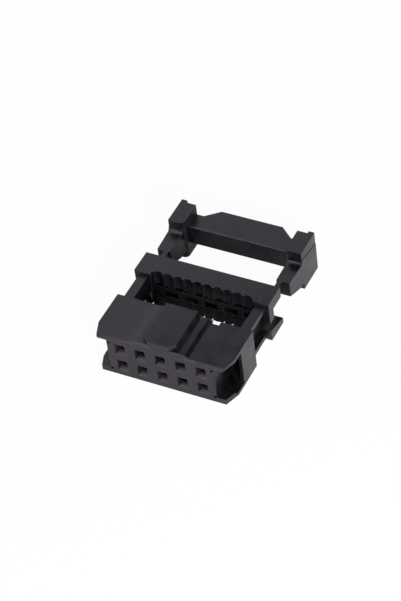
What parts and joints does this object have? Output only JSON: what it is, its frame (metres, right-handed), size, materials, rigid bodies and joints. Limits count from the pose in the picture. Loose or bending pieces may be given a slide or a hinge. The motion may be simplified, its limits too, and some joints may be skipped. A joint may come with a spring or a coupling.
{
  "type": "ribbon cable socket",
  "caption": "Insulation-displacement ribbon cable socket in black plastic, with a polarising key, forked contacts, an open pressing cover and a strain relief that slide closed.",
  "frame": {"origin": "middle of the contact grid, on the mating face", "axes": "+X along the rows of contacts, +Y from the mating face to the strain relief, +Z towards the polarising key"},
  "size_m": [0.0174, 0.0247, 0.0069],
  "materials": {
    "black_plastic": "semi-gloss moulded",
    "tin_plate": "bright tin plating"
  },
  "bodies": {
    "housing": {"housing": "black_plastic", "contact_a1": "tin_plate", "contact_a2": "tin_plate", "contact_a3": "tin_plate", "contact_a4": "tin_plate", "contact_a5": "tin_plate", "contact_b1": "tin_plate", "contact_b2": "tin_plate", "contact_b3": "tin_plate", "contact_b4": "tin_plate", "contact_b5": "tin_plate"},
    "cover": {"cover": "black_plastic"},
    "strain_relief": {"strain_relief": "black_plastic"}
  },
  "joints": [
    {"name": "cover_slide", "type": "slide", "parent": "housing", "child": "cover", "axis": [0, -1, 0], "range_m": [0, 0.0041]},
    {"name": "relief_slide", "type": "slide", "parent": "cover", "child": "strain_relief", "axis": [0, -1, 0], "range_m": [0, 0.00435]}
  ]
}
